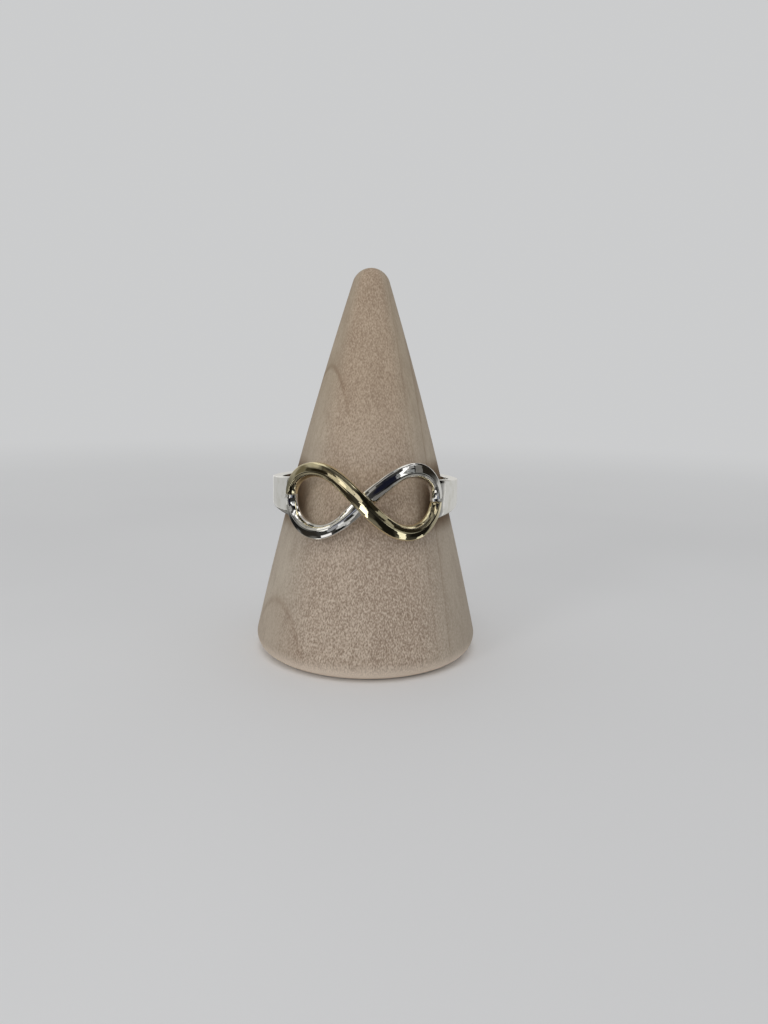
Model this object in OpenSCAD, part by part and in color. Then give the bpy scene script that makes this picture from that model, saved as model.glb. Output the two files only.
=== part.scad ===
// An infinity ring in two metals, resting on a plain wooden cone.
// Millimetres, +Z up, origin in the middle of the cone's foot, the figure of eight to the front (-Y).

/* [Cone] */
// Largest diameter of the cone, just above its foot
cone_d = 24; // [21:0.5:40]
// Height of the cone
cone_h = 40.5; // [34:0.5:60]
// Radius of the round edge of the cone's foot
foot_round = 1.8; // [0.5:0.1:4]
// Radius of the cone's round tip
tip_round = 2; // [1:0.1:4]
// Radius of the gentle outward curve of the cone's side
side_curve = 430; // [200:10:2000]

/* [Band] */
// Inner diameter of the ring
bore_d = 17.8; // [14:0.1:20]
// Thickness of the band's wall
band_wall = 1; // [0.7:0.05:2]
// Width of the band where it reaches the loops
band_front_w = 3.9; // [2.5:0.1:4.6]
// Width of the band at its back
band_back_w = 2.2; // [1.2:0.1:3.8]
// How quickly the band narrows behind the loops
band_taper = 2.7; // [1:0.1:5]
// Height of the band's narrow tip between the ends of the two strands
band_tip_h = 0.45; // [0.3:0.05:1]

/* [Figure of eight] */
// Length of the figure round the finger, measured on the middle line of its strands
figure_l = 16.6; // [14:0.1:20]
// Height of the figure, measured on the middle line of its strands
figure_h = 6.3; // [5.4:0.1:9]
// How much lower the gold strand's round top is than the silver one's
gold_drop = 0.2; // [0:0.05:0.5]
// How full and round the two loops are
loop_fullness = 0.4; // [0.2:0.05:0.8]
// Width of the gold strand at its widest
gold_w = 1.55; // [0.8:0.05:2]
// Width of the silver strand at its widest
silver_w = 1.5; // [0.8:0.05:2]
// Thickness of a strand at its ridge
strand_t = 1.05; // [0.7:0.05:1.6]
// How far the ridge of a strand lies towards the inside of each loop
ridge_shift = 0.26; // [0:0.02:0.3]
// How far the strands' undersides stand out from the inside of the band
strand_stand = 0.35; // [0.1:0.05:1]

/* [Crossing] */
// Thickness of each strand where the gold one passes over the silver one
cross_t = 0.9; // [0.5:0.05:1.4]
// How far the silver strand dips under the gold one
cross_dip = 0.15; // [0:0.05:0.4]
// Length from the crossing over which the strands rise and dip
cross_reach = 2.4; // [1.8:0.1:4]

/* [Fit] */
// Gap between the gold strand and the silver it lies against
strand_gap = 0.06; // [0.03:0.01:0.15]
// Gap between the ring and the cone where the ring comes to rest
seat_gap = 0.05; // [0.02:0.01:0.2]
// How far the ring sits off the cone's axis, to the right
ring_x = -0.28; // [-0.6:0.02:0.6]
// How far the ring sits off the cone's axis, to the back
ring_y = -0.2; // [-0.6:0.02:0.6]
// Turn of the ring on the cone, in degrees
ring_turn = 0.2; // [-10:0.2:10]

/* [Hidden] */
$fn = 96;

bore_r = bore_d / 2;
band_r = bore_r + band_wall;
strand_foot_r = bore_r + strand_stand;
// Radius at which lengths round the finger are measured, in the middle of the strands' thickness
round_r = strand_foot_r + strand_t / 2;
function round_angle(s) = s / round_r * 180 / PI;

// Width of the strands along their length, as shares of their full widths.
// WAY is the share of the way from an end to the crossing.
WAY = 0;
GOLD = 1;
SILVER = 2;
strand_widths = [
    [0.00, 0.72, 0.74],
    [0.18, 0.80, 0.82],
    [0.36, 0.92, 0.95],
    [0.54, 0.98, 1.00],
    [0.72, 1.00, 0.90],
    [0.86, 0.98, 0.84],
    [1.00, 0.97, 0.92]
];

// One half of a strand's section, from its underside up to its ridge.
// ACROSS is a share of the half width, and the other two are shares of the thickness:
// the face outside a loop is nearly flat, and the one inside it falls away steeply.
ACROSS = 0;
OUTSIDE = 1;
INSIDE = 2;
half_section = [
    [0.88, 0.00, 0.00],
    [1.00, 0.08, 0.08],
    [1.00, 0.58, 0.36],
    [0.95, 0.70, 0.46],
    [0.84, 0.79, 0.58],
    [0.56, 0.90, 0.77],
    [0.26, 0.97, 0.92]
];

// The two rounds of the cone's outline, and the big arc that touches both from outside
foot_c = [cone_d / 2 - foot_round, foot_round];
tip_c = [0, cone_h - tip_round];
span = norm(tip_c - foot_c);
up_side = (tip_c - foot_c) / span;
out_side = [up_side[1], -up_side[0]];
to_foot = side_curve - foot_round;
to_tip = side_curve - tip_round;
along_side = (to_foot ^ 2 - to_tip ^ 2 + span ^ 2) / (2 * span);
side_c = foot_c + along_side * up_side - sqrt(to_foot ^ 2 - along_side ^ 2) * out_side;

function cone_height_at(r) = side_c[1] + sqrt(side_curve ^ 2 - (r - side_c[0]) ^ 2);

function arc(c, r, from, to, steps) =
    [for (i = [0:steps]) let (a = from + (to - from) * i / steps) c + r * [cos(a), sin(a)]];

function heading(v) = atan2(v[1], v[0]);

// Half the band's width, at an angle from the middle of the front. It narrows behind the figure's ends
figure_angle = round_angle(figure_l / 2);
function band_half(a) =
    let (narrowing = ((1 + cos(max(a, figure_angle))) / (1 + cos(figure_angle))) ^ band_taper)
    (band_back_w + (band_front_w - band_back_w) * narrowing) / 2;

// The middle line of a strand: t runs from 0 at its left end to 180 at its right end
function line_at(t, drop = 0) = [
    -figure_l / 2 * cos(t) / (1 + loop_fullness * sin(t) ^ 2),
    (figure_h / 2 - drop * (1 + cos(t)) / 2) * sin(2 * t)
];
function line_heading(t, drop = 0) = heading(line_at(t + 0.5, drop) - line_at(t - 0.5, drop));
function width_at(t, metal) =
    (metal == GOLD ? gold_w : silver_w)
    * lookup(1 - abs(t - 90) / 90, [for (row = strand_widths) [row[WAY], row[metal]]]);

// Share of the crossing's rise or dip that is reached at a place along the figure
function crossing_share(s) = exp(-(s / cross_reach) ^ 2);
gold_rise = cross_t - cross_dip + strand_gap;
function thickness_at(s) = strand_t - (strand_t - cross_t) * crossing_share(s);

function on_finger(s, z, r) = let (a = round_angle(s)) [r * sin(a), -r * cos(a), z];
function strand_edge(t, side) =
    let (a = line_heading(t), w = max(width_at(t, GOLD), width_at(t, SILVER)))
    line_at(t) + side * w / 2 * [-sin(a), cos(a)];

// A strand's section, with its ridge moved and its faces tilted towards the inside of the loop:
// inward is 1 in the left loop, 0 at the crossing and -1 in the right loop
function half_rise(row, inward) = (row[OUTSIDE] * (1 + inward) + row[INSIDE] * (1 - inward)) / 2;
function section(w, inward) =
    let (shift = -ridge_shift * inward)
    concat(
        [for (row = half_section)
            [row[ACROSS] * w / 2 + shift * (1 - row[ACROSS]), half_rise(row, inward)]],
        [[shift, 1]],
        [for (i = [len(half_section) - 1:-1:0])
            let (row = half_section[i])
            [-row[ACROSS] * w / 2 + shift * (1 - row[ACROSS]), half_rise(row, -inward)]]
    );

// The section at t, set on the finger. The ends of the strand are cut level,
// so turned is the place whose heading it takes
function strand_section(t, turned, metal, rise, drop) =
    let (
        p = line_at(t, drop),
        a = line_heading(turned, drop),
        foot = strand_foot_r + rise * crossing_share(p[0])
    )
    [for (q = section(width_at(t, metal), cos(t)))
        on_finger(p[0] - sin(a) * q[0], p[1] + cos(a) * q[0], foot + q[1] * thickness_at(p[0]))];

// A whole strand. It starts and ends at end_height above the level of the crossing
strand_steps = 80;
module strand(metal, end_height, rise, drop) {
    start = asin(end_height / (figure_h / 2 - drop)) / 2;
    count = len(section(1, 0));
    points = [for (i = [0:strand_steps])
        let (way = i / strand_steps)
        each strand_section(start + (180 - 2 * start) * way, 180 * way, metal, rise, drop)];
    sides = [for (i = [0:strand_steps - 1], j = [0:count - 1])
        let (a = i * count + j, b = i * count + (j + 1) % count)
        each [[a, a + count, b], [b, a + count, b + count]]];
    ends = [
        [for (j = [0:count - 1]) j],
        [for (j = [count - 1:-1:0]) strand_steps * count + j]
    ];
    polyhedron(points = points, faces = concat(sides, ends), convexity = 4);
}

// Each end of the figure is nearly a circle. end_r is its radius on the strands' middle line, from the
// line's own curve there, and end_angle is the way round from the crossing to its centre
end_r = 2 * (figure_h / 2) ^ 2 / (figure_l / 2 * (0.5 + loop_fullness));
end_s = figure_l / 2 - end_r;
end_angle = round_angle(end_s);
end_inner_r = end_r - width_at(0, SILVER) / 2;
end_outer_r = max([for (t = [0:4:20]) norm(strand_edge(t, 1) - [-end_s, 0])]);

// A round hole through the band, at the centre of the figure's end, between two heights
module end_hole(r, from, to) {
    depth = 4 * band_wall;
    intersection() {
        rotate([90, 0, 0])
            cylinder(r = r, h = depth, center = true);
        translate([-r, -depth / 2, from])
            cube([2 * r, depth, to - from]);
    }
}

// The band seen from its side, from behind the crossing to past its back
band_steps = 24;
module band_side() {
    upper = [for (i = [0:band_steps])
        let (a = end_angle / 2 + (180 - end_angle / 2) * i / band_steps)
        [-band_r * cos(a), band_half(a)]];
    past_back = [band_r + band_wall, band_half(180)];
    edge = concat(upper, [past_back]);
    polygon(concat(edge, [for (i = [len(edge) - 1:-1:0]) [edge[i][0], -edge[i][1]]]));
}

// The band ends at the loops. Its holes there leave a narrow tip between the ends of the two strands,
// a clear step round the gold one, and metal under the silver one, which is soldered to it
module band() {
    tall = 2 * end_outer_r;
    opening = 2 * bore_r * sin(end_angle);
    difference() {
        intersection() {
            difference() {
                cylinder(r = band_r, h = 2 * tall, center = true);
                cylinder(r = bore_r, h = 3 * tall, center = true);
            }
            rotate([90, 0, 90])
                linear_extrude(height = 3 * band_r, center = true)
                    band_side();
        }
        translate([-opening / 2, -2 * band_r, -tall])
            cube([opening, 2 * band_r, 2 * tall]);
        for (side = [-1, 1])
            rotate([0, 0, side * end_angle])
                translate([0, -round_r, 0])
                    rotate([0, side > 0 ? 180 : 0, 0]) {
                        end_hole(end_inner_r, -tall, tall);
                        end_hole(end_outer_r + 2 * strand_gap, band_tip_h / 2, tall);
                        end_hole(end_r, -tall, -band_tip_h / 2);
                    }
    }
}

// The height at which the band, or one of the strands, would come down on the cone.
// below is how far the touching edge lies under the level of the crossing
function seat_height(a, r, below) =
    let (place = [ring_x, ring_y] + r * [sin(a + ring_turn), -cos(a + ring_turn)])
    cone_height_at(norm(place) - seat_gap) + below;
band_seat = max([for (a = [figure_angle:5:360 - figure_angle]) seat_height(a, bore_r, band_half(a))]);
strand_seat = max([for (t = [0:4:180], side = [-1, 1], upright = [-1, 1])
    let (edge = strand_edge(t, side))
    seat_height(round_angle(edge[0]), strand_foot_r, -upright * edge[1])]);
ring_z = max(band_seat, strand_seat);

module on_cone() {
    translate([ring_x, ring_y, ring_z])
        rotate([0, 0, ring_turn])
            children();
}

module cone_stand() {
    foot_heading = heading(foot_c - side_c);
    tip_heading = heading(tip_c - side_c);
    color("tan")
        rotate_extrude($fn = 144)
            polygon(concat(
                [[0, 0]],
                arc(foot_c, foot_round, -90, foot_heading, 8),
                arc(side_c, side_curve, foot_heading, tip_heading, 12),
                arc(tip_c, tip_round, tip_heading, 90, 8)
            ));
}

module silver_ring() {
    color("silver")
        on_cone()
            union() {
                band();
                mirror([0, 0, 1])
                    strand(SILVER, band_tip_h / 4, -cross_dip, 0);
            }
}

module gold_strand() {
    color("khaki")
        on_cone()
            strand(GOLD, band_tip_h / 2 + strand_gap, gold_rise, gold_drop);
}

cone_stand();
silver_ring();
gold_strand();
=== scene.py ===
"""An infinity ring in two metals on its wooden display cone: the pieces, their finishes and the studio."""

import math

import bmesh
import bpy
import numpy as np
from bpy.props import FloatProperty, FloatVectorProperty, IntProperty, PointerProperty
from mathutils import Matrix, Vector, noise


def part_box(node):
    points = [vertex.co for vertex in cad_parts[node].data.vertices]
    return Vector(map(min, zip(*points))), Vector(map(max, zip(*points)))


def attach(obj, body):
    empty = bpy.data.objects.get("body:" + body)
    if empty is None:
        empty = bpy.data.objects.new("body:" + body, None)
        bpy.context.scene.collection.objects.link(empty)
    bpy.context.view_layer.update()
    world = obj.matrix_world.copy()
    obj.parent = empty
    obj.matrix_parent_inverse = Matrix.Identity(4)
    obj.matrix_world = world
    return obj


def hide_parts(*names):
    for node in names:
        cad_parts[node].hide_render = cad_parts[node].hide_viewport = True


bl_info = {
    "name": "Infinity ring on its cone",
    "version": (1, 0, 0),
    "blender": (4, 5, 0),
    "location": "3D View > Sidebar > Ring",
    "description": "Models a two-metal infinity ring on a wooden display cone",
    "category": "Add Mesh",
}

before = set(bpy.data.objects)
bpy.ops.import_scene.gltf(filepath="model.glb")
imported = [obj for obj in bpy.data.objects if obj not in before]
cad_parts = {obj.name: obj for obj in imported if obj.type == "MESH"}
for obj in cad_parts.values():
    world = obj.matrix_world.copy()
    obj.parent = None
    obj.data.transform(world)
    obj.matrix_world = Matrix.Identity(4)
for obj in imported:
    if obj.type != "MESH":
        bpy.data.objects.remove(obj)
MM = 0.001
CONE_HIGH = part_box("cone_stand")[1]
RING_LOW, RING_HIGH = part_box("silver_ring")

# Width of the strands along their length, as shares of their full widths.
# The first column is the share of the way from an end to the crossing.
GOLD, SILVER = 1, 2
STRAND_WIDTHS = np.array([
    # way, gold, silver
    (0.00, 0.72, 0.74),
    (0.18, 0.80, 0.82),
    (0.36, 0.92, 0.95),
    (0.54, 0.98, 1.00),
    (0.72, 1.00, 0.90),
    (0.86, 0.98, 0.84),
    (1.00, 0.97, 0.92),
])

# Beside the crossing the silver strand is wider than that, and lies more to its lower side
SILVER_FLARE = np.array([
    # share of the way from its left end to its right end, more of the full width, half widths aside
    (0.36, 0.00, 0.00),
    (0.42, 0.12, 0.00),
    (0.48, 0.18, 0.02),
    (0.54, 0.28, 0.22),
    (0.60, 0.34, 0.40),
    (0.66, 0.24, 0.32),
    (0.72, 0.13, 0.18),
    (0.80, 0.11, 0.07),
    (0.92, 0.00, 0.00),
])

# Corners of one half of a strand's section, from its underside up to its ridge: a share of the half
# width, and shares of the thickness on the side outside a loop and on the side inside it.
HALF_SECTION = np.array([
    # across, outside, inside
    (0.88, 0.00, 0.00),
    (1.00, 0.08, 0.08),
    (1.00, 0.62, 0.18),
    (0.90, 0.76, 0.37),
    (0.50, 0.89, 0.75),
])


def length(name, description, default_mm):
    """A length that a user can change, given here in millimetres."""
    return FloatProperty(
        name=name,
        description=description,
        default=default_mm * MM,
        unit="LENGTH",
        subtype="DISTANCE",
        precision=5,
    )


def degrees(name, description, default):
    """An angle that a user can change, given here in degrees."""
    return FloatProperty(name=name, description=description, default=math.radians(default), subtype="ANGLE")


def colour(name, description, default):
    """A colour that a user can change."""
    return FloatVectorProperty(
        name=name, description=description, default=(*default, 1), size=4, min=0, max=1, subtype="COLOR"
    )


def share(name, description, default):
    """A share or factor that a user can change."""
    return FloatProperty(
        name=name, description=description, default=default, min=0, soft_max=1, subtype="FACTOR"
    )


class RingSizes(bpy.types.PropertyGroup):
    """Sizes of the ring"""

    bore_diameter: length("Inner diameter", "Inner diameter of the band", 17.8)
    band_wall: length("Band thickness", "Thickness of the band's wall", 1)
    band_front_width: length("Band width, front", "Width of the band where it reaches the loops", 3.9)
    band_back_width: length("Band width, back", "Width of the band at its back", 2.2)
    band_taper: FloatProperty(
        name="Taper", description="How quickly the band narrows behind the loops", default=2.7
    )
    band_edge: length("Band edge", "Radius of the band's edges", 0.1)
    tip_height: length("Tip height", "Height of the band's tip between the ends of the strands", 0.45)
    figure_length: length("Figure length", "Length of the figure of eight on its middle line", 16.6)
    figure_height: length("Figure height", "Height of the figure of eight on its middle line", 6.3)
    gold_drop: length("Gold drop", "How much lower the gold strand's top is than the silver one's", 0.2)
    loop_fullness: share("Loop fullness", "How full and round the two loops are", 0.4)
    gold_width: length("Gold width", "Width of the gold strand at its widest", 1.55)
    silver_width: length("Silver width", "Width of the silver strand at its widest", 1.5)
    strand_thickness: length("Strand thickness", "Thickness of a strand at its ridge", 1.05)
    ridge_shift: length("Ridge shift", "How far the ridge lies towards the inside of a loop", 0.22)
    strand_stand: length("Strand stand-off", "How far the strands' undersides stand out from the bore", 0.35)
    crossing_thickness: length("Crossing thickness", "Thickness of each strand at the crossing", 0.9)
    crossing_dip: length("Crossing dip", "How far the silver strand dips under the gold one", 0.15)
    crossing_reach: length("Crossing reach", "Length over which the strands rise and dip", 2.4)
    strand_gap: length("Strand gap", "Gap between the gold strand and the silver below it", 0.06)
    turn: degrees("Turn", "Turn of the ring on the cone", 0.2)
    unevenness: length("Unevenness", "Depth of the slight unevenness that polishing by hand leaves", 0.03)
    unevenness_size: length("Unevenness size", "Length of one wave of that unevenness", 1.8)


class ConeSizes(bpy.types.PropertyGroup):
    """Sizes of the wooden cone"""

    foot_round: length("Foot edge", "Radius of the round edge of the foot", 1.8)
    tip_round: length("Tip", "Radius of the round tip", 2)
    side_curve: length("Side curve", "Radius of the gentle outward curve of the side", 430)
    segments: IntProperty(name="Segments", description="Faces round the cone", default=192, min=24, max=512)


class RingLooks(bpy.types.PropertyGroup):
    """Colours and finishes"""

    silver_colour: colour("Silver", "Colour of the polished silver", (0.92, 0.91, 0.895))
    gold_colour: colour("Gold", "Colour of the polished pale gold", (0.94, 0.85, 0.60))
    polish: share("Polish", "Roughness of the polished metal", 0.035)
    wood_pale: colour("Wood, pale", "Colour of the pale early wood", (0.555, 0.447, 0.352))
    wood_dark: colour("Wood, dark", "Colour of the darker late wood", (0.39, 0.295, 0.225))
    wood_fleck: colour("Wood flecks", "Colour of the short pale flecks", (0.725, 0.617, 0.503))
    wood_pore: colour("Wood pores", "Colour of the dark flecks and pores", (0.26, 0.19, 0.135))
    wood_roughness: share("Wood roughness", "Roughness of the sanded bare wood", 0.72)


class StudioSettings(bpy.types.PropertyGroup):
    """Floor, light and camera"""

    floor_colour: colour("Floor", "Colour of the plain pale floor", (0.84, 0.84, 0.845))
    room_colour: colour("Room", "Colour of the pale room", (0.60, 0.605, 0.61))
    camera_place: FloatVectorProperty(
        name="Camera",
        description="Place of the camera",
        default=(0.00195, -0.0795, 0.0292),
        subtype="TRANSLATION",
    )
    camera_pitch: degrees("Pitch", "How far the camera looks down", 10.18)
    camera_yaw: degrees("Yaw", "How far the camera looks to the right", -0.12)
    camera_roll: degrees("Roll", "How far the camera leans", 1.15)
    camera_lens: FloatProperty(
        name="Lens", description="Focal length on a 36 mm sensor", default=25.95, unit="CAMERA"
    )


class Formula:
    """A number in a node tree, so that a rule is written as a formula and comes out as Math nodes."""

    def __init__(self, tree, socket):
        self.tree = tree
        self.socket = socket

    def step(self, operation, *others):
        node = self.tree.nodes.new("ShaderNodeMath")
        node.operation = operation
        for socket, value in zip(node.inputs, (self, *others)):
            connect(self.tree, value, socket)
        return Formula(self.tree, node.outputs[0])

    def __add__(self, other):
        return self.step("ADD", other)

    __radd__ = __add__

    def __sub__(self, other):
        return self.step("SUBTRACT", other)

    def __mul__(self, other):
        return self.step("MULTIPLY", other)

    def __truediv__(self, other):
        return self.step("DIVIDE", other)

    def __neg__(self):
        return self.step("MULTIPLY", -1)

    def squared(self):
        return self.step("MULTIPLY", self)

    def sine(self):
        return self.step("SINE")

    def cosine(self):
        return self.step("COSINE")


def connect(tree, value, socket):
    """Links a formula or a socket, or sets a plain number."""
    if isinstance(value, Formula):
        value = value.socket
    if isinstance(value, bpy.types.NodeSocket):
        tree.links.new(value, socket)
    else:
        socket.default_value = value


def vector_of(tree, x, y, z):
    node = tree.nodes.new("ShaderNodeCombineXYZ")
    for value, socket in zip((x, y, z), node.inputs):
        connect(tree, value, socket)
    return node.outputs[0]


def parts_of(tree, vector):
    node = tree.nodes.new("ShaderNodeSeparateXYZ")
    connect(tree, vector, node.inputs[0])
    return [Formula(tree, socket) for socket in node.outputs]


def place_of_ring(sizes):
    """The middle of the ring at the level of the crossing, from the frame."""
    band_radius = sizes.bore_diameter / 2 + sizes.band_wall
    return Vector((
        (RING_LOW.x + RING_HIGH.x) / 2,
        RING_HIGH.y - band_radius,
        (RING_LOW.z + RING_HIGH.z) / 2,
    ))


def in_scene(name, data):
    """A new object of the scene, at the origin."""
    thing = bpy.data.objects.new(name, data)
    bpy.context.scene.collection.objects.link(thing)
    return thing


def finished_mesh(name, thing):
    """What an object's modifiers make of it, as a plain mesh. The object loses its modifiers."""
    bpy.context.view_layer.update()
    result = thing.evaluated_get(bpy.context.evaluated_depsgraph_get())
    mesh = bpy.data.meshes.new_from_object(result)
    mesh.name = name
    thing.modifiers.clear()
    return mesh


def outward_faces(mesh):
    """Turns every face of a closed mesh outwards."""
    shell = bmesh.new()
    shell.from_mesh(mesh)
    bmesh.ops.recalc_face_normals(shell, faces=shell.faces)
    shell.to_mesh(mesh)
    shell.free()


def faces_between(rows, count):
    """Four-sided faces between closed rows that have as many points each."""
    return [
        (i * count + j, (i + 1) * count + j, (i + 1) * count + (j + 1) % count, i * count + (j + 1) % count)
        for i in range(rows - 1)
        for j in range(count)
    ]


def new_piece(name, mesh, material, slot, *nodes):
    """Links a finished mesh as a piece that stands for CAD nodes and rides on the one body."""
    piece = in_scene(name, mesh)
    mesh.materials.clear()
    mesh.materials.append(material)
    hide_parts(*nodes)
    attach(piece, "root")
    return piece


# The two strands

# How much is cut off at each corner of the section, first and then again, and how near to a corner a
# flat face begins, as shares of a strand's half width. A cut takes at most LARGEST_CUT of an edge.
CORNER_CUTS = (0.10, 0.032)
LARGEST_CUT = 0.35
FACE_START = 0.035

# Half a strand's thickness over half its width: what a rise counts beside a place across
RISE_WEIGHT = 0.68

# Places along a strand, and how many of them its widths and its flare are softened over to each side
STRAND_STATIONS = 480
WIDTH_SOFTENING = 24
FLARE_SOFTENING = 8

# How far before and behind a place its heading is measured, as an angle along the figure
HEADING_STEP = 0.005


def edge_lengths(loop):
    """Lengths of a closed loop's edges, as shares of a strand's half width."""
    step = np.roll(loop, -1, axis=0) - loop
    return np.hypot(step[:, 0], RISE_WEIGHT * (step[:, 1] + step[:, 2]))[:, None]


def rounded(loop, cut):
    """A closed loop with its corners cut off."""
    ahead = np.roll(loop, -1, axis=0)
    inset = (ahead - loop) * np.minimum(cut / edge_lengths(loop), LARGEST_CUT)
    return np.stack([loop + inset, ahead - inset], axis=1).reshape(-1, 3)


def with_flat_faces(loop, reach):
    """A closed loop with two more points on each long edge, which keep the face between them flat."""
    points = []
    for here, ahead, edge in zip(loop, np.roll(loop, -1, axis=0), edge_lengths(loop)[:, 0]):
        points.append(here)
        if edge > 4 * reach:
            inset = (ahead - here) * reach / edge
            points += [here + inset, ahead - inset]
    return np.array(points)


def strand_section():
    """The whole section: across, rise in the left loop, rise in the right loop."""
    across, outside, inside = HALF_SECTION.T
    one_side = np.stack([across, outside, inside], axis=1)
    other_side = np.stack([-across, inside, outside], axis=1)[::-1]
    loop = np.concatenate([one_side, [(0, 1, 1)], other_side])
    for cut in CORNER_CUTS:
        loop = rounded(loop, cut)
    return with_flat_faces(loop, FACE_START)


def softened(values, reach):
    """A row of values, each one a mean of those round it."""
    window = np.hanning(2 * reach + 1)
    return np.convolve(np.pad(values, reach, mode="edge"), window / window.sum(), mode="valid")


def straight_strand(column):
    """A straight blank of the strand in a column of STRAND_WIDTHS. Along x lies the share of the way,
    along y the place across and along z the rise in the left loop."""
    section = strand_section()
    count = len(section)
    ways = np.linspace(0, 1, STRAND_STATIONS + 1)
    widths = np.interp(1 - np.abs(2 * ways - 1), STRAND_WIDTHS[:, 0], STRAND_WIDTHS[:, column])
    widths = softened(widths, WIDTH_SOFTENING)
    aside = np.zeros(len(ways))
    if column == SILVER:
        wider, aside = (np.interp(ways, SILVER_FLARE[:, 0], SILVER_FLARE[:, i]) for i in (1, 2))
        widths = widths + softened(wider, FLARE_SOFTENING)
        aside = softened(aside, FLARE_SOFTENING)

    points = [(way, across + beside, left) for way, beside in zip(ways, aside) for across, left, _ in section]
    ends = [tuple(range(count)), tuple(STRAND_STATIONS * count + j for j in reversed(range(count)))]
    mesh = bpy.data.meshes.new("straight strand")
    mesh.from_pydata(points, [], faces_between(len(ways), count) + ends)
    mesh.shade_smooth()
    kept = {"width": np.repeat(widths, count), "right rise": np.tile(section[:, 2], len(ways))}
    for name, values in kept.items():
        mesh.attributes.new(name, "FLOAT", "POINT").data.foreach_set("value", values.astype(np.float32))
    return mesh


STRAND_INPUTS = (
    "Figure Length", "Figure Height", "Top Drop", "Loop Fullness", "Way Up", "End Height",
    "Width", "Thickness", "Ridge Shift", "Underside Radius", "Measuring Radius",
    "Crossing Rise", "Crossing Thickness", "Crossing Reach", "Turn", "Turning Over",
    "Unevenness", "Unevenness Size",
)


def strand_tree():
    """The node tree that bends a straight strand along one half of the figure of eight, round the finger."""
    tree = bpy.data.node_groups.new("bend along the figure", "GeometryNodeTree")
    tree.interface.new_socket("Geometry", in_out="INPUT", socket_type="NodeSocketGeometry")
    tree.interface.new_socket("Geometry", in_out="OUTPUT", socket_type="NodeSocketGeometry")
    for name in STRAND_INPUTS:
        tree.interface.new_socket(name, in_out="INPUT", socket_type="NodeSocketFloat")
    tree.interface.new_socket("Place", in_out="INPUT", socket_type="NodeSocketVector")
    tree.interface.new_socket("Material", in_out="INPUT", socket_type="NodeSocketMaterial")
    group_in = tree.nodes.new("NodeGroupInput")
    group_out = tree.nodes.new("NodeGroupOutput")
    size = {name: Formula(tree, group_in.outputs[name]) for name in STRAND_INPUTS}

    def stored(name):
        node = tree.nodes.new("GeometryNodeInputNamedAttribute")
        node.data_type = "FLOAT"
        node.inputs["Name"].default_value = name
        return Formula(tree, node.outputs[0])

    # The blank's own coordinates
    way, across, left_rise = parts_of(tree, tree.nodes.new("GeometryNodeInputPosition").outputs[0])
    half_length = size["Figure Length"] / 2
    half_height = size["Figure Height"] / 2

    # Where the strand is cut level at its two ends
    start = (size["End Height"] / (half_height - size["Top Drop"])).step("ARCSINE") / 2
    t = start + way * (-(start * 2) + math.pi)
    heading_t = way * math.pi

    def middle_line(t):
        fullness = (t.sine().squared() * size["Loop Fullness"]) + 1
        height = half_height - size["Top Drop"] * (t.cosine() + 1) / 2
        return -(half_length * t.cosine() / fullness), height * (t * 2).sine() * size["Way Up"]

    s, z = middle_line(t)
    ahead_s, ahead_z = middle_line(heading_t + HEADING_STEP)
    behind_s, behind_z = middle_line(heading_t - HEADING_STEP)
    heading = (ahead_z - behind_z).step("ARCTAN2", ahead_s - behind_s)

    # The section leans towards the inside of the left loop, then towards the inside of the right one.
    # The silver strand is the gold one upside down, so its section is turned over with it.
    inward = (t.cosine() * size["Turning Over"]).step("TANH") / size["Turning Over"].step("TANH")
    leaning = (inward + 1) / 2
    rise = left_rise * leaning + stored("right rise") * (-leaning + 1)
    sideways = across * size["Width"] * stored("width") / 2
    sideways = sideways - size["Ridge Shift"] * inward * (-(across.step("ABSOLUTE")) + 1)
    sideways = sideways * size["Way Up"]

    crossing = (-((s / size["Crossing Reach"]).squared())).step("EXPONENT")
    thickness = size["Thickness"] - (size["Thickness"] - size["Crossing Thickness"]) * crossing
    radius = size["Underside Radius"] + size["Crossing Rise"] * crossing + rise * thickness
    s = s - heading.sine() * sideways
    z = z + heading.cosine() * sideways
    angle = s / size["Measuring Radius"] + size["Turn"]
    place = tree.nodes.new("ShaderNodeVectorMath")
    place.operation = "ADD"
    connect(tree, vector_of(tree, radius * angle.sine(), -(radius * angle.cosine()), z), place.inputs[0])
    tree.links.new(group_in.outputs["Place"], place.inputs[1])

    bend = tree.nodes.new("GeometryNodeSetPosition")
    tree.links.new(group_in.outputs["Geometry"], bend.inputs["Geometry"])
    tree.links.new(place.outputs[0], bend.inputs["Position"])

    # The slight waves that polishing by hand leaves
    waves = tree.nodes.new("ShaderNodeTexNoise")
    waves.inputs["Detail"].default_value = 1
    connect(tree, Formula(tree, group_in.outputs["Unevenness Size"]).step("POWER", -1), waves.inputs["Scale"])
    depth = (Formula(tree, waves.outputs[0]) - 0.5) * size["Unevenness"]
    lift = tree.nodes.new("ShaderNodeVectorMath")
    lift.operation = "SCALE"
    tree.links.new(tree.nodes.new("GeometryNodeInputNormal").outputs[0], lift.inputs[0])
    connect(tree, depth, lift.inputs["Scale"])
    polish = tree.nodes.new("GeometryNodeSetPosition")
    tree.links.new(bend.outputs[0], polish.inputs["Geometry"])
    tree.links.new(lift.outputs[0], polish.inputs["Offset"])

    realize = tree.nodes.new("GeometryNodeRealizeInstances")
    paint = tree.nodes.new("GeometryNodeSetMaterial")
    tree.links.new(polish.outputs[0], realize.inputs[0])
    tree.links.new(realize.outputs[0], paint.inputs["Geometry"])
    tree.links.new(group_in.outputs["Material"], paint.inputs["Material"])
    tree.links.new(paint.outputs[0], group_out.inputs[0])
    return tree


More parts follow.
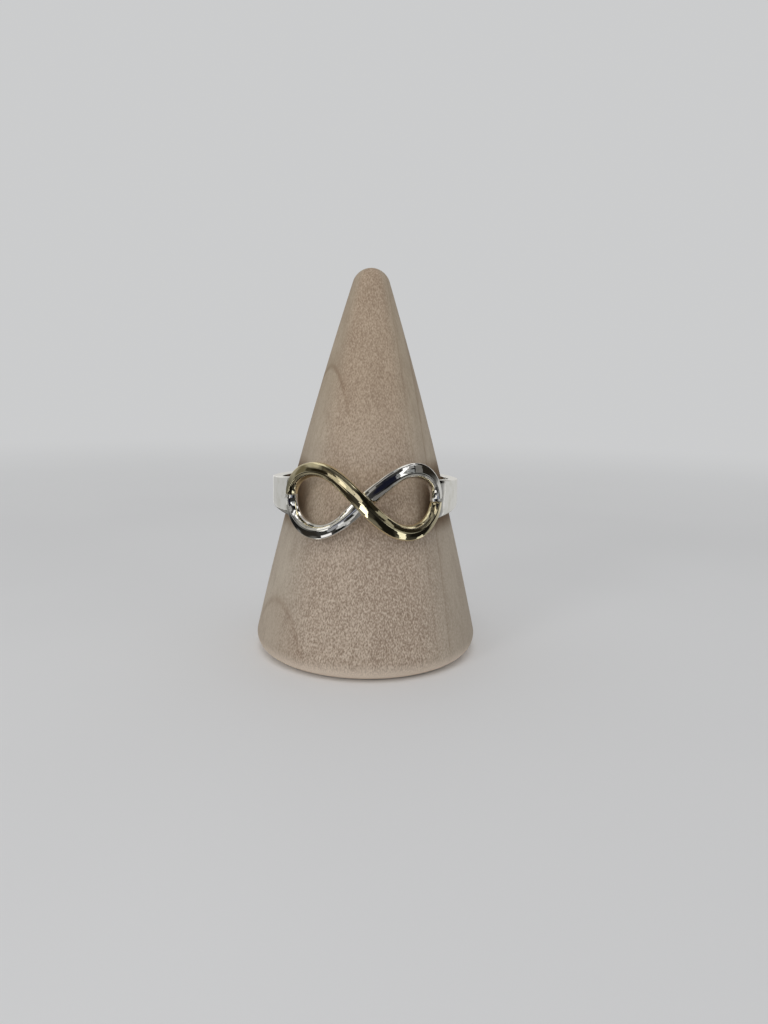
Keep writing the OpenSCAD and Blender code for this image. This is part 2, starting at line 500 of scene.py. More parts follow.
def bent_strand(name, column, values, place, material):
    """A strand's finished mesh: the blank, bent by the node tree."""
    blank = in_scene(name + " blank", straight_strand(column))
    modifier = blank.modifiers.new("bend", "NODES")
    modifier.node_group = bpy.data.node_groups.get("bend along the figure") or strand_tree()
    items = modifier.node_group.interface.items_tree
    sockets = {item.name: item.identifier for item in items if item.in_out == "INPUT"}
    for key, value in values.items():
        modifier[sockets[key]] = float(value)
    modifier[sockets["Place"]] = place
    modifier[sockets["Material"]] = material
    mesh = finished_mesh(name, blank)
    bpy.data.objects.remove(blank)
    for attribute in ("width", "right rise"):
        mesh.attributes.remove(mesh.attributes[attribute])
    outward_faces(mesh)
    return mesh


def strand_values(sizes):
    """What both strands share, by the names of the tree's inputs."""
    underside = sizes.bore_diameter / 2 + sizes.strand_stand
    return {
        "Figure Length": sizes.figure_length,
        "Figure Height": sizes.figure_height,
        "Loop Fullness": sizes.loop_fullness,
        "Thickness": sizes.strand_thickness,
        "Ridge Shift": sizes.ridge_shift,
        "Underside Radius": underside,
        "Measuring Radius": underside + sizes.strand_thickness / 2,
        "Crossing Thickness": sizes.crossing_thickness,
        "Crossing Reach": sizes.crossing_reach,
        "Turn": sizes.turn,
        "Unevenness": sizes.unevenness,
        "Unevenness Size": sizes.unevenness_size,
    }


class RING_OT_bend_gold(bpy.types.Operator):
    """Bend the gold strand over the top of the left loop and under the right one"""

    bl_idname = "ring_on_cone.bend_gold"
    bl_label = "Bend the gold strand"

    def execute(self, context):
        sizes = context.scene.ring_sizes
        looks = context.scene.ring_looks
        values = strand_values(sizes) | {
            "Top Drop": sizes.gold_drop,
            "Way Up": 1,
            "End Height": sizes.tip_height / 2 + sizes.strand_gap,
            "Width": sizes.gold_width,
            "Turning Over": 1,
            "Crossing Rise": sizes.crossing_thickness - sizes.crossing_dip + sizes.strand_gap,
        }
        material = polished_metal("polished gold", looks.gold_colour, looks.polish)
        mesh = bent_strand("gold strand", GOLD, values, place_of_ring(sizes), material)
        new_piece("gold_strand_polished", mesh, material, "gold", "gold_strand")
        return {"FINISHED"}


class RING_OT_form_silver(bpy.types.Operator):
    """Form the silver band with its tips, bend the silver strand and solder them into one"""

    bl_idname = "ring_on_cone.form_silver"
    bl_label = "Form the silver ring"

    def execute(self, context):
        sizes = context.scene.ring_sizes
        looks = context.scene.ring_looks
        values = strand_values(sizes) | {
            "Top Drop": 0,
            "Way Up": -1,
            "End Height": sizes.tip_height / 4,
            "Width": sizes.silver_width,
            "Turning Over": 2.6,
            "Crossing Rise": -sizes.crossing_dip,
        }
        material = polished_metal("polished silver", looks.silver_colour, looks.polish)
        strand = bent_strand("silver strand", SILVER, values, place_of_ring(sizes), material)
        mesh = soldered(band_mesh(sizes), tip_mesh(sizes, -1), tip_mesh(sizes, 1), strand)
        new_piece("silver_ring_polished", mesh, material, "silver", "silver_ring")
        return {"FINISHED"}


def soldered(first, *others):
    """One closed mesh out of several that overlap."""
    base = in_scene("solder", first)
    added = [in_scene("to solder", mesh) for mesh in others]
    for other in added:
        union = base.modifiers.new("union", "BOOLEAN")
        union.operation = "UNION"
        union.solver = "EXACT"
        union.object = other
    joined = finished_mesh("silver ring", base)
    for thing in [base, *added]:
        bpy.data.objects.remove(thing)
    joined.shade_smooth()
    joined.set_sharp_from_angle(angle=math.radians(35))
    return joined


# The band

BAND_STATIONS = 360
CORNER_STEPS = 5
FACE_STEPS = 10


def rounded_bar(half_height, low_radius, high_radius, edge):
    """Section of the band as (height, radius) pairs, from its lower edge over its outer face and back
    inside. Its two halves match, so that a point and the one facing it have the same height."""
    low, high = edge - half_height, high_radius - edge
    quarter = np.linspace(0, math.pi / 2, CORNER_STEPS + 1)
    lower = [(low - edge * math.cos(a), high + edge * math.sin(a)) for a in quarter]
    flat = np.linspace(low, -low, FACE_STEPS + 1)[1:-1]
    outer = lower + [(z, high_radius) for z in flat] + [(-z, r) for z, r in reversed(lower)]
    inner = [(z, low_radius + high_radius - r) for z, r in reversed(outer)]
    return np.array(outer + inner)


def swept(name, sections):
    """A closed solid through sections of 3-D points that all have as many points."""
    count = len(sections[0])
    last = (len(sections) - 1) * count
    cap = [(j, j + 1, count - 2 - j, count - 1 - j) for j in range(count // 2 - 1)]
    far_cap = [tuple(last + j for j in reversed(face)) for face in cap]
    faces = faces_between(len(sections), count) + cap + far_cap
    mesh = bpy.data.meshes.new(name)
    mesh.from_pydata(np.concatenate(sections).tolist(), [], faces)
    mesh.shade_smooth()
    outward_faces(mesh)
    return mesh


def figure_end(sizes):
    """Radius of the figure's nearly round ends on the middle line, how far round their centres are, and
    the radius of the finger's round on which the figure is measured."""
    half_length = sizes.figure_length / 2
    end_radius = 2 * (sizes.figure_height / 2) ** 2 / (half_length * (0.5 + sizes.loop_fullness))
    measuring = sizes.bore_diameter / 2 + sizes.strand_stand + sizes.strand_thickness / 2
    return end_radius, (half_length - end_radius) / measuring, measuring


def band_half(sizes, angle, measuring):
    """Half the band's width at an angle from the middle of the front."""
    figure_angle = sizes.figure_length / 2 / measuring
    spread = (1 + math.cos(max(angle, figure_angle))) / (1 + math.cos(figure_angle))
    narrowing = spread**sizes.band_taper
    return (sizes.band_back_width + (sizes.band_front_width - sizes.band_back_width) * narrowing) / 2


def on_ring(sizes, middle, angle, radius, height):
    """A point of the ring, with the slight waves that polishing leaves on it."""
    a = angle + sizes.turn
    way_out = Vector((math.sin(a), -math.cos(a), 0))
    point = middle + way_out * radius + Vector((0, 0, height))
    return point + way_out * noise.noise(point / sizes.unevenness_size) * sizes.unevenness / 2


def band_mesh(sizes):
    """The band, swept round the finger from the middle of one end of the figure to that of the other."""
    middle = place_of_ring(sizes)
    end_radius, end_angle, measuring = figure_end(sizes)
    bore, outer = sizes.bore_diameter / 2, sizes.bore_diameter / 2 + sizes.band_wall
    front = rounded_bar(band_half(sizes, 0, measuring), bore, outer, sizes.band_edge)
    starts = [end_angle + math.sqrt(end_radius**2 - z**2) / measuring for z, _ in front]
    sections = []
    for way in np.linspace(0, 1, BAND_STATIONS + 1):
        angles = [start + (2 * math.pi - 2 * start) * way for start in starts]
        section = []
        for j, a in enumerate(angles):
            half = band_half(sizes, min(a, 2 * math.pi - a), measuring)
            z, r = rounded_bar(half, bore, outer, sizes.band_edge)[j]
            section.append(on_ring(sizes, middle, a, r, z))
        sections.append(np.array(section))
    return swept("band", sections)


# The solder draws a tip's inner end round over the nose's length, from NOSE_LOW of its full rise. The
# tip stands out from the band, and begins inside the strands' ends, by a share of their width.
NOSE = 0.8 * MM
NOSE_LOW = 0.3
TIP_STAND = 0.18 * MM
TIP_START = 0.46


def tip_mesh(sizes, side):
    """The band's narrow tip between the ends of the two strands, on the left (-1) or the right (1)."""
    middle = place_of_ring(sizes)
    end_radius, end_angle, measuring = figure_end(sizes)
    underside = sizes.bore_diameter / 2 + sizes.strand_stand
    full_rise = sizes.bore_diameter / 2 + sizes.band_wall + TIP_STAND - underside
    width = STRAND_WIDTHS[0, SILVER] * sizes.silver_width
    near, far = end_radius - width * TIP_START, end_radius + width / 2
    sections = []
    for reach in [*np.linspace(near, near + NOSE, 12), *np.linspace(near + NOSE, far, 8)[1:]]:
        before = max(0, 1 - (reach - near) / NOSE)
        rise = full_rise * (NOSE_LOW + (1 - NOSE_LOW) * math.sqrt(1 - before**2))
        bar = rounded_bar(sizes.tip_height / 2, underside, underside + rise, sizes.band_edge / 2)
        angle = side * (end_angle + reach / measuring)
        sections.append(np.array([on_ring(sizes, middle, angle, r, z) for z, r in bar]))
    return swept("tip", sections)


# The cone


ROUND_STEPS = 16
SIDE_STEPS = 60


def arc(centre, radius, start, end, steps):
    """Points of an arc as (radius, height) pairs."""
    turns = np.linspace(start, end, steps + 1)
    return [centre + radius * Vector((math.cos(a), math.sin(a))) for a in turns]


def cone_outline(sizes):
    """The cone's outline from its foot's rim to its tip: two rounds and the big arc that touches both."""
    foot = Vector((CONE_HIGH.x - sizes.foot_round, sizes.foot_round))
    tip = Vector((0, CONE_HIGH.z - sizes.tip_round))
    span = (tip - foot).length
    up_side = (tip - foot) / span
    out_side = Vector((up_side.y, -up_side.x))
    to_foot, to_tip = sizes.side_curve - sizes.foot_round, sizes.side_curve - sizes.tip_round
    along = (to_foot**2 - to_tip**2 + span**2) / (2 * span)
    centre = foot + along * up_side - math.sqrt(to_foot**2 - along**2) * out_side
    foot_turn = math.atan2(foot.y - centre.y, foot.x - centre.x)
    tip_turn = math.atan2(tip.y - centre.y, tip.x - centre.x)
    return (
        arc(foot, sizes.foot_round, -math.pi / 2, foot_turn, ROUND_STEPS)
        + arc(centre, sizes.side_curve, foot_turn, tip_turn, SIDE_STEPS)[1:]
        + arc(tip, sizes.tip_round, tip_turn, math.pi / 2, ROUND_STEPS)[1:-1]
    )


class RING_OT_turn_cone(bpy.types.Operator):
    """Turn the wooden cone from its outline"""

    bl_idname = "ring_on_cone.turn_cone"
    bl_label = "Turn the wooden cone"

    def execute(self, context):
        sizes = context.scene.cone_sizes
        outline = cone_outline(sizes)
        count = sizes.segments
        turns = [2 * math.pi * i / count for i in range(count)]
        points = [(p.x * math.cos(a), p.x * math.sin(a), p.y) for p in outline for a in turns]
        top = len(points) - count
        foot, tip = len(points), len(points) + 1
        points += [(0, 0, 0), (0, 0, CONE_HIGH.z)]
        faces = faces_between(len(outline), count)
        faces += [(foot, j, (j + 1) % count) for j in range(count)]
        faces += [(tip, top + (j + 1) % count, top + j) for j in range(count)]
        mesh = bpy.data.meshes.new("cone")
        mesh.from_pydata(points, [], faces)
        mesh.shade_smooth()
        outward_faces(mesh)
        new_piece("cone_turned", mesh, bare_wood(context.scene.ring_looks), "wood", "cone_stand")
        return {"FINISHED"}


# Materials


def new_material(name):
    """An empty node material and its Principled shader."""
    material = bpy.data.materials.new(name)
    material.use_nodes = True
    shader = material.node_tree.nodes["Principled BSDF"]
    return material, material.node_tree, shader


def object_place(tree):
    """Place on a piece, in metres from the origin."""
    return tree.nodes.new("ShaderNodeTexCoord").outputs["Object"]


def stretched(tree, vector, scale, turn=(0, 0, 0)):
    """A place turned and then scaled, so that a pattern on it is so many times finer than a metre."""
    node = tree.nodes.new("ShaderNodeMapping")
    tree.links.new(vector, node.inputs["Vector"])
    node.inputs["Scale"].default_value = scale
    node.inputs["Rotation"].default_value = turn
    return node.outputs[0]


def noise_of(tree, vector, scale, detail=3, roughness=0.5):
    """Soft noise between 0 and 1."""
    node = tree.nodes.new("ShaderNodeTexNoise")
    tree.links.new(vector, node.inputs["Vector"])
    node.inputs["Scale"].default_value = scale
    node.inputs["Detail"].default_value = detail
    node.inputs["Roughness"].default_value = roughness
    return Formula(tree, node.outputs[0])


def spread(tree, value, low, high, to_low=0, to_high=1):
    """A value moved from one range to another, and kept inside it."""
    node = tree.nodes.new("ShaderNodeMapRange")
    node.interpolation_type = "SMOOTHSTEP"
    connect(tree, value, node.inputs["Value"])
    for key, number in (("From Min", low), ("From Max", high), ("To Min", to_low), ("To Max", to_high)):
        node.inputs[key].default_value = number
    return Formula(tree, node.outputs[0])


def mixed(tree, amount, first, second, blend="MIX"):
    """The first colour with an amount of the second mixed or multiplied into it."""
    node = tree.nodes.new("ShaderNodeMix")
    node.data_type = "RGBA"
    node.blend_type = blend
    connect(tree, amount, node.inputs["Factor"])
    for value, key in ((first, "A"), (second, "B")):
        socket = next(s for s in node.inputs if s.name == key and s.type == "RGBA")
        connect(tree, value, socket)
    return next(s for s in node.outputs if s.type == "RGBA")


def bumped(tree, height, distance, strength, shader):
    """Gives a shader the fine relief that a height describes."""
    node = tree.nodes.new("ShaderNodeBump")
    node.inputs["Distance"].default_value = distance
    node.inputs["Strength"].default_value = strength
    connect(tree, height, node.inputs["Height"])
    tree.links.new(node.outputs[0], shader.inputs["Normal"])


def polished_metal(name, colour, polish):
    """Polished precious metal: a mirror with fine wear that softens it here and there."""
    material, tree, shader = new_material(name)
    shader.inputs["Metallic"].default_value = 1
    place = object_place(tree)
    wear = noise_of(tree, place, 900, detail=4, roughness=0.6)
    dulled = (0.86, 0.85, 0.8, 1)
    worn = mixed(tree, spread(tree, wear, 0.42, 0.75) * 0.8, tuple(colour), dulled, "MULTIPLY")
    connect(tree, worn, shader.inputs["Base Color"])
    scratches = noise_of(tree, stretched(tree, place, (9000, 9000, 1400), (0.4, 0.3, 0)), 1, detail=2)
    roughness = spread(tree, wear, 0.3, 0.75, polish * 0.6, polish * 1.8)
    roughness = roughness + spread(tree, scratches, 0.62, 0.78) * 0.06
    connect(tree, roughness, shader.inputs["Roughness"])
    ripple = noise_of(tree, place, 1500, detail=2)
    bumped(tree, ripple + scratches * 0.1, 0.00002, 0.35, shader)
    return material


# Growth lines of the wood: how far each upright sheet lies from the cone's axis, how strongly it shows
# high on the cone and low down, and the heights between which the one goes over into the other. The
# lengths are in millimetres.
GROWTH_LINES = (
    (10.85, 1.1, 0.2, 1, 20),
    (4.6, 0.6, 0.08, 23.5, 29.5),
    (-0.8, 0.3, 0.25, 1, 20),
    (-2.7, 0.45, 0.35, 1, 20),
    (-8.7, 0.6, 0.5, 1, 20),
)


SHEET_TURN = math.radians(34)
AS_IT_IS = (1, 1, 1, 1)


def bare_wood(looks):
    """Sanded bare hardwood: upright growth sheets that the cone cuts into arches, fibres and flecks."""
    material, tree, shader = new_material("bare wood")
    pale, dark, fleck, pore = (
        tuple(colour) for colour in (looks.wood_pale, looks.wood_dark, looks.wood_fleck, looks.wood_pore)
    )
    place = object_place(tree)
    side_x, side_y, height = parts_of(tree, place)

    def pattern(scale, **more):
        return noise_of(tree, stretched(tree, place, scale), 1, **more)

    # The sheets face the front left, a little wavy. A line is soft on one side and sharp on the other
    drift = pattern((70, 70, 30), detail=2)
    sheet_x = parts_of(tree, stretched(tree, place, (1, 1, 1), (0, 0, -SHEET_TURN)))[0]
    depth = (drift - 0.5) * 0.7 - sheet_x / MM
    lines = 0
    for sheet, high_up, low_down, low, high in GROWTH_LINES:
        soft_side = spread(tree, depth, sheet - 0.7, sheet) * 0.4
        soft_side = soft_side + spread(tree, depth, sheet - 0.16, sheet) * 0.6
        strength = spread(tree, height, low * MM, high * MM, low_down, high_up)
        lines = lines + soft_side * spread(tree, depth, sheet + 0.16, sheet) * strength
    last_sheet = GROWTH_LINES[0][0]
    outermost = spread(tree, depth, last_sheet - 0.3, last_sheet + 0.1)

    # Fibres and wider streaks run up the wood. Short pale and dark flecks lie between them, and show best
    # on the front and back, and low on the cone
    fibres = pattern((2600, 2600, 160), roughness=0.6)
    streaks = pattern((650, 650, 110), detail=2)
    flecks = pattern((8000, 8000, 3900), detail=1, roughness=0.4)
    pores = pattern((8500, 8500, 2400), detail=1)
    cloud = pattern((120, 120, 60))
    round_axis = (side_x.squared() + side_y.squared()).step("SQRT").step("MAXIMUM", 0.1 * MM)
    facing = spread(tree, (side_x / round_axis).step("ABSOLUTE"), 0.87, 0.42)
    across = (facing * 0.8 + 0.2) * spread(tree, height, 23 * MM, 6 * MM, 0.62, 1)

    colour = mixed(tree, spread(tree, cloud, 0.3, 0.7) * 0.5, pale, dark)
    colour = mixed(tree, spread(tree, streaks, 0.45, 0.7) * 0.4, colour, dark)
    colour = mixed(tree, spread(tree, fibres, 0.45, 0.75) * 0.5, colour, dark)
    colour = mixed(tree, spread(tree, flecks, 0.47, 0.74) * across * 0.82, colour, fleck)
    colour = mixed(tree, spread(tree, flecks, 0.53, 0.27) * across * 0.75, colour, pore)
    open_pores = spread(tree, pores, 0.6, 0.78)
    colour = mixed(tree, open_pores * 0.35, colour, pore)
    colour = mixed(tree, lines, colour, (0.62, 0.54, 0.48, 1), "MULTIPLY")
    colour = mixed(tree, outermost * 0.3, colour, (0.72, 0.62, 0.56, 1), "MULTIPLY")

    # Painted shade: the wood is darkened at the ring's height, most towards the sides, in place of the shade
    # that the ring casts on the wood behind its loops
    off_middle = (height - (RING_LOW.z + RING_HIGH.z) / 2).step("ABSOLUTE")
    painted_ring_shade = spread(tree, off_middle, 4 * MM, 2.2 * MM)
    beside = spread(tree, (side_x + 0.2 * MM).step("ABSOLUTE"), 4.6 * MM, 6.7 * MM)
    colour = mixed(tree, painted_ring_shade, colour, (0.98, 0.96, 0.92, 1), "MULTIPLY")
    # Painted shade: deepest beside the ring, behind the outer ends of its loops
    colour = mixed(tree, painted_ring_shade * beside, colour, (0.45, 0.37, 0.30, 1), "MULTIPLY")

    # The sides are greyer than the front. Painted light and shade: the cone is painted darker and warmer high
    # up and paler at the foot's edge, in place of the light that the floor throws on its lower part
    greyer = mixed(tree, facing, (1.02, 1.1, 1.13, 1), AS_IT_IS)
    colour = mixed(tree, 1, colour, greyer, "MULTIPLY")
    # Painted shade: darker and warmer high up, away from the floor's light
    painted_shade_high_up = mixed(tree, spread(tree, height, 14 * MM, 31 * MM), AS_IT_IS, (0.94, 0.905, 0.845, 1))
    colour = mixed(tree, 1, colour, painted_shade_high_up, "MULTIPLY")
    # Painted light: the foot's edge is paler, where light from the floor falls on it
    colour = mixed(tree, spread(tree, height, 2.2 * MM, 0.2 * MM) * 0.9, colour, (0.96, 0.82, 0.68, 1))
    connect(tree, colour, shader.inputs["Base Color"])
    shader.inputs["Roughness"].default_value = looks.wood_roughness
    shader.inputs["Specular IOR Level"].default_value = 0.25
    bumped(tree, fibres * 0.5 + flecks * 0.4 - open_pores * 0.5, 0.00003, 0.35, shader)
    return material


def dimmed(colour, brightness):
    """A colour made darker, with nothing see-through."""
    return (*(brightness * part for part in colour[:3]), 1)


def floor_paint(colour, room_colour):
    """Plain pale board with a faint mottle, which fades into the room."""
    material, tree, shader = new_material("pale floor")
    place = object_place(tree)
    mottle = noise_of(tree, place, 14, detail=2)
    mottled = mixed(tree, spread(tree, mottle, 0.35, 0.65), tuple(colour), dimmed(colour, 0.97))
    connect(tree, mottled, shader.inputs["Base Color"])
    shader.inputs["Roughness"].default_value = 0.6
    shader.inputs["Specular IOR Level"].default_value = 0.2

    # From 3 to 30 cm away the floor turns into the room, so that no edge shows
    reach = tree.nodes.new("ShaderNodeVectorMath")
    reach.operation = "LENGTH"
    tree.links.new(place, reach.inputs[0])
    glow = tree.nodes.new("ShaderNodeEmission")
    glow.inputs["Color"].default_value = room_colour
    blend = tree.nodes.new("ShaderNodeMixShader")
    connect(tree, spread(tree, reach.outputs["Value"], 0.03, 0.3), blend.inputs["Fac"])
    tree.links.new(shader.outputs[0], blend.inputs[1])
    tree.links.new(glow.outputs[0], blend.inputs[2])
    tree.links.new(blend.outputs[0], tree.nodes["Material Output"].inputs["Surface"])
    return material


# The studio

# Cards that every metal mirrors: azimuth and elevation as seen from the ring (0 is the front, 90 the
# right), half width and half height, tilt and soft edge, all in degrees, and the card's colour
ROOM_CARDS = (
    (15, -5, 85, 58, 0, 12, (0.04, 0.039, 0.037)),
    (0, 88, 400, 27, 0, 8, (0.045, 0.042, 0.037)),
    (-105, 75, 75, 22, 0, 10, (0.30, 0.29, 0.26)),
    (180, 14, 45, 24, 0, 8, (0.64, 0.63, 0.60)),
    (-110, 43, 55, 17, 0, 8, (0.43, 0.42, 0.38)),
    (0, -88, 400, 24, 0, 10, (0.11, 0.105, 0.095)),
    (-125, -45, 40, 12, 0, 8, (0.21, 0.20, 0.17)),
    (-135, -5, 28, 8, 0, 4, (0.12, 0.12, 0.11)),
    (140, -7, 26, 9, 0, 4, (0.56, 0.56, 0.54)),
    (99, 35, 34, 31, 0, 6, (0.018, 0.016, 0.012)),
    (55, 5, 18, 9, 0, 5, (0.03, 0.03, 0.028)),
    (0, 12, 17, 8, 0, 4, (0.008, 0.009, 0.018)),
    (28, -15, 28, 11, -52, 5, (0.006, 0.006, 0.008)),
    (-93, 13, 13, 12, 0, 5, (0.13, 0.12, 0.09)),
    (-64, 14, 17, 9, 0, 3, (0.04, 0.037, 0.028)),
    (-84, -31, 27, 14, 0, 6, (0.025, 0.022, 0.018)),
    (50, 31, 15, 15, 0, 4, (0.006, 0.006, 0.005)),
    (88, -20, 24, 24, 0, 5, (0.007, 0.007, 0.006)),
    (17, -55, 22, 23, 0, 6, (0.008, 0.008, 0.007)),
    (-108, -23, 44, 6.5, 0, 4, (0.012, 0.012, 0.011)),
    (-54, 20, 14, 3.5, 14, 2, (0.012, 0.01, 0.006)),
    (-40, 34, 8, 5, 0, 4, (0.11, 0.10, 0.08)),
    (-118, 59, 40, 1.5, 6, 2, (0.04, 0.036, 0.02)),
)

# What a metal mirrors between the cards, and how much of the room's brightness lights the pieces
ROOM_SHADE = (0.30, 0.295, 0.28)
ROOM_LIGHT = 0.86

# How far a soft box stands from the ring, and how far the floor reaches, in metres
BOX_REACH = 0.25
FLOOR_REACH = 3

# Soft boxes that only one of the metals mirrors: the metal, then azimuth, elevation, width, height and
# tilt in degrees, brightness and colour
SOFT_BOXES = (
    ("gold", -25, 28, 26, 11, 24, 0.5, (1, 0.95, 0.86)),
    ("gold", -43, 1, 11, 30, -8, 0.5, (1, 0.95, 0.86)),
    ("gold", -8, 35, 28, 16, 0, 0.55, (1, 0.97, 0.9)),
    ("gold", 17, 24, 16, 30, -15, 0.6, (1, 0.97, 0.92)),
    ("gold", -2, -12, 14, 17, 0, 1.7, (1, 1, 0.95)),
    ("gold", 9, 2, 9, 14, -30, 1.2, (1, 1, 0.95)),
    ("gold", -32, -44, 40, 13, 38, 1.9, (1, 1, 0.97)),
    ("gold", 50, -46, 11, 24, 14, 1.0, (0.98, 1, 0.96)),
    ("gold", 48, -24, 8, 26, -12, 0.5, (0.98, 1, 0.93)),
    ("gold", 58, -2, 10, 20, -24, 0.25, (0.98, 1, 0.93)),
    ("gold", 95, 21, 54, 8, 0, 0.26, (1, 1, 0.9)),
    ("gold", 42, 53, 13, 6, 0, 0.9, (1, 1, 0.92)),
    ("gold", 165, 38, 16, 18, 0, 1.0, (1, 1, 0.92)),
    ("gold", -105, 66, 60, 26, 0, 0.4, (1, 1, 0.88)),
    ("gold", -140, 54, 26, 16, 0, 0.5, (1, 1, 0.92)),
    ("gold", 120, -44, 40, 12, 0, 0.65, (1, 1, 0.95)),
    ("gold", 85, -70, 34, 10, 0, 0.3, (1, 1, 0.85)),
    ("silver", 31, 22, 16, 8, 40, 1.3, (1, 1, 1)),
    ("silver", 51, 34, 26, 7, 32, 0.8, (1, 1, 1)),
    ("silver", 48, 25, 20, 8, 20, 0.26, (1, 1, 0.98)),
    ("silver", 68, 40, 12, 14, 20, 0.8, (1, 1, 1)),
    ("silver", 36, 17, 40, 7, 0, 0.22, (0.97, 1, 1)),
    ("silver", 71, 27, 16, 30, -12, 0.14, (1, 0.98, 0.93)),
    ("silver", 58, -50, 50, 18, 0, 0.12, (1, 0.98, 0.93)),
    ("silver", 15, 53, 34, 7, 4, 0.7, (1, 1, 1)),
    ("silver", 12, -38, 28, 11, -8, 0.5, (1, 1, 0.98)),
    ("silver", -43, -8, 14, 48, 22, 0.95, (1, 0.99, 0.95)),
    ("silver", -16, -10, 26, 28, 30, 0.24, (0.82, 0.88, 1.1)),
    ("silver", -13, -30, 28, 11, 10, 0.26, (0.95, 0.97, 1)),
    ("silver", -31, -48, 24, 10, 0, 0.9, (1, 0.98, 0.97)),
    ("silver", -10, 32, 44, 15, 8, 0.28, (1, 0.97, 0.93)),
    ("silver", 68, -4, 30, 13, 0, 0.3, (0.97, 1, 0.95)),
    ("silver", -137, -4, 60, 17, 0, 0.38, (1, 1, 0.98)),
    ("silver", 90, 80, 70, 40, 0, 0.38, (1, 0.98, 0.95)),
    ("silver", -110, 45, 44, 9, 0, 0.5, (1, 0.98, 0.95)),
    ("silver", -92, 31, 24, 7, 0, 1.0, (1, 1, 1)),
    ("silver", 103, 63, 22, 11, 10, 1.4, (1, 0.98, 0.95)),
    ("silver", 35, 72, 36, 14, 0, 0.75, (1, 0.98, 0.95)),
    ("silver", -112, -68, 32, 12, 0, 0.9, (1, 0.98, 0.95)),
    ("silver", -30, -84, 60, 40, 0, 0.2, (1, 0.98, 0.95)),
    ("silver", 94, -19, 40, 26, 0, 0.24, (1, 1, 0.98)),
    ("silver", -125, 15, 70, 14, 0, 0.35, (1, 1, 0.98)),
)


def studio_room(colour):
    """A pale room for the eye. What the metal mirrors is a darker one, with cards in it."""
    world = bpy.data.worlds.new("pale studio")
    world.use_nodes = True
    tree = world.node_tree
    tree.nodes.clear()
    x, y, z = parts_of(tree, tree.nodes.new("ShaderNodeTexCoord").outputs["Generated"])
    azimuth = x.step("ARCTAN2", -y) * (180 / math.pi)
    elevation = z.step("ARCSINE") * (180 / math.pi)

    mirrored = (*ROOM_SHADE, 1)
    for a, e, half_width, half_height, tilt, soft, shade in ROOM_CARDS:
        c, s = math.cos(math.radians(tilt)), math.sin(math.radians(tilt))
        round_from = azimuth.step("ABSOLUTE") if a == 180 else azimuth
        along = ((round_from - a) * c + (elevation - e) * s).step("ABSOLUTE")
        over = ((elevation - e) * c - (round_from - a) * s).step("ABSOLUTE")
        card = spread(tree, along, half_width + soft, half_width - soft) * spread(
            tree, over, half_height + soft, half_height - soft
        )
        mirrored = mixed(tree, card, mirrored, (*shade, 1))
    path = tree.nodes.new("ShaderNodeLightPath")
    shown = mixed(tree, path.outputs["Is Diffuse Ray"], tuple(colour), dimmed(colour, ROOM_LIGHT))
    shown = mixed(tree, path.outputs["Is Glossy Ray"], shown, mirrored)
    background = tree.nodes.new("ShaderNodeBackground")
    connect(tree, shown, background.inputs["Color"])
    output = tree.nodes.new("ShaderNodeOutputWorld")
    tree.links.new(background.outputs[0], output.inputs["Surface"])
    bpy.context.scene.world = world


def soft_light(name, place, aim, size, power):
    """A round soft light, aimed at a point."""
    data = bpy.data.lights.new(name, "AREA")
    data.shape = "DISK"
    data.size = size
    data.energy = power
    lamp = in_scene(name, data)
    lamp.location = place
    lamp.rotation_euler = (Vector(aim) - Vector(place)).to_track_quat("-Z", "Y").to_euler()
    lamp.visible_camera = False
    lamp.visible_glossy = False


def pieces_in(metal):
    """The collection of the pieces in one metal."""
    name = f"pieces in {metal}"
    return bpy.data.collections.get(name) or bpy.data.collections.new(name)


def mirrored_box(metal, azimuth, elevation, width, height, tilt, brightness, colour, aim):
    """A rectangular soft box that lights only the pieces in one metal."""
    a, e = math.radians(azimuth), math.radians(elevation)
    way = Vector((math.sin(a) * math.cos(e), -math.cos(a) * math.cos(e), math.sin(e)))
    data = bpy.data.lights.new(f"soft box for {metal}", "AREA")
    data.shape = "RECTANGLE"
    data.size = 2 * BOX_REACH * math.tan(math.radians(width / 2))
    data.size_y = 2 * BOX_REACH * math.tan(math.radians(height / 2))
    data.energy = brightness * math.pi * data.size * data.size_y
    data.color = colour
    lamp = in_scene(data.name, data)
    turn = way.to_track_quat("Z", "Y").to_matrix() @ Matrix.Rotation(math.radians(tilt), 3, "Z")
    lamp.matrix_world = Matrix.Translation(aim + way * BOX_REACH) @ turn.to_4x4()
    lamp.visible_camera = False
    lamp.light_linking.receiver_collection = pieces_in(metal)


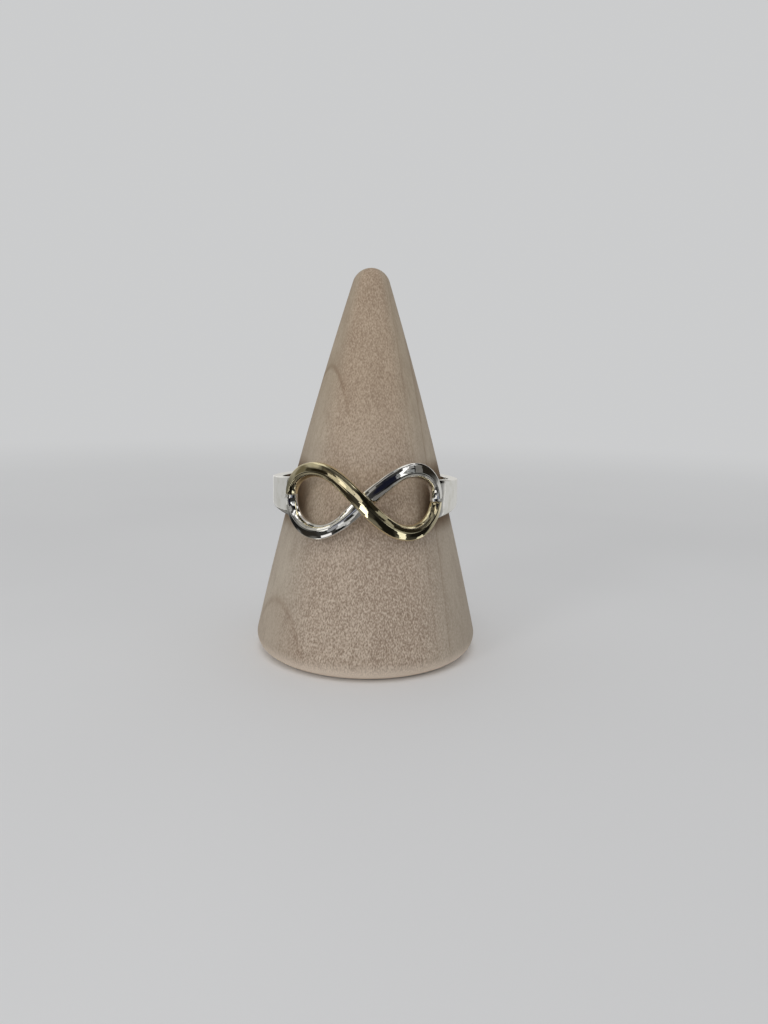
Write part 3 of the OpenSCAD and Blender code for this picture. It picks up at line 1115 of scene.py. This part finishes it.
class RING_OT_set_stage(bpy.types.Operator):
    """Set the pale floor, the soft light and the camera"""

    bl_idname = "ring_on_cone.set_stage"
    bl_label = "Set the stage"

    def execute(self, context):
        studio = context.scene.studio_settings
        mesh = bpy.data.meshes.new("floor")
        corners = [(x * FLOOR_REACH, y * FLOOR_REACH, 0) for x, y in ((-1, -1), (1, -1), (1, 1), (-1, 1))]
        mesh.from_pydata(corners, [], [(0, 1, 2, 3)])
        mesh.materials.append(floor_paint(studio.floor_colour, studio.room_colour))
        floor = in_scene("floor", mesh)
        floor.visible_glossy = False
        studio_room(studio.room_colour)
        middle = (0, 0, CONE_HIGH.z / 2)
        soft_light("soft light above", (-0.01, -0.12, 0.3), middle, size=0.16, power=0.15)
        soft_light("soft light left", (-0.2, -0.24, 0.14), middle, size=0.09, power=0.12)
        aim = place_of_ring(context.scene.ring_sizes)
        for box in SOFT_BOXES:
            mirrored_box(*box, aim)
        for metal, name in (("gold", "gold_strand_polished"), ("silver", "silver_ring_polished")):
            pieces_in(metal).objects.link(bpy.data.objects[name])

        pitch, yaw, roll = studio.camera_pitch, studio.camera_yaw, studio.camera_roll
        ahead = Vector((math.sin(yaw) * math.cos(pitch), math.cos(yaw) * math.cos(pitch), -math.sin(pitch)))
        right = ahead.cross(Vector((0, 0, 1))).normalized()
        up = right.cross(ahead)
        leaned_right = right * math.cos(roll) + up * math.sin(roll)
        leaned_up = up * math.cos(roll) - right * math.sin(roll)
        turn = Matrix((leaned_right, leaned_up, -ahead)).transposed().to_4x4()
        camera = in_scene("camera", bpy.data.cameras.new("camera"))
        camera.matrix_world = Matrix.Translation(studio.camera_place) @ turn
        camera.data.lens = studio.camera_lens
        camera.data.sensor_width = 36
        camera.data.clip_start = 0.005
        camera.data.clip_end = 20
        context.scene.camera = camera
        context.scene.view_settings.view_transform = "Standard"
        return {"FINISHED"}


class RING_PT_panel(bpy.types.Panel):
    """Lists the ring's sizes, its finishes and the steps that make it"""

    bl_idname = "RING_PT_panel"
    bl_label = "Infinity ring"
    bl_space_type = "VIEW_3D"
    bl_region_type = "UI"
    bl_category = "Ring"

    def draw(self, context):
        for operator in OPERATORS:
            self.layout.operator(operator.bl_idname)
        for group in GROUPS:
            box = self.layout.box()
            box.label(text=group.__doc__)
            for name in group.__annotations__:
                box.prop(getattr(context.scene, GROUPS[group]), name)


GROUPS = {
    RingSizes: "ring_sizes",
    ConeSizes: "cone_sizes",
    RingLooks: "ring_looks",
    StudioSettings: "studio_settings",
}
OPERATORS = (RING_OT_turn_cone, RING_OT_form_silver, RING_OT_bend_gold, RING_OT_set_stage)


def register():
    for cls in (*GROUPS, *OPERATORS, RING_PT_panel):
        bpy.utils.register_class(cls)
    for group, name in GROUPS.items():
        setattr(bpy.types.Scene, name, PointerProperty(type=group))


def unregister():
    for name in GROUPS.values():
        delattr(bpy.types.Scene, name)
    for cls in reversed((*GROUPS, *OPERATORS, RING_PT_panel)):
        bpy.utils.unregister_class(cls)


def main():
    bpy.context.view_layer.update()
    register()
    bpy.ops.ring_on_cone.turn_cone()
    bpy.ops.ring_on_cone.form_silver()
    bpy.ops.ring_on_cone.bend_gold()
    bpy.ops.ring_on_cone.set_stage()


if __name__ == "__main__":
    main()
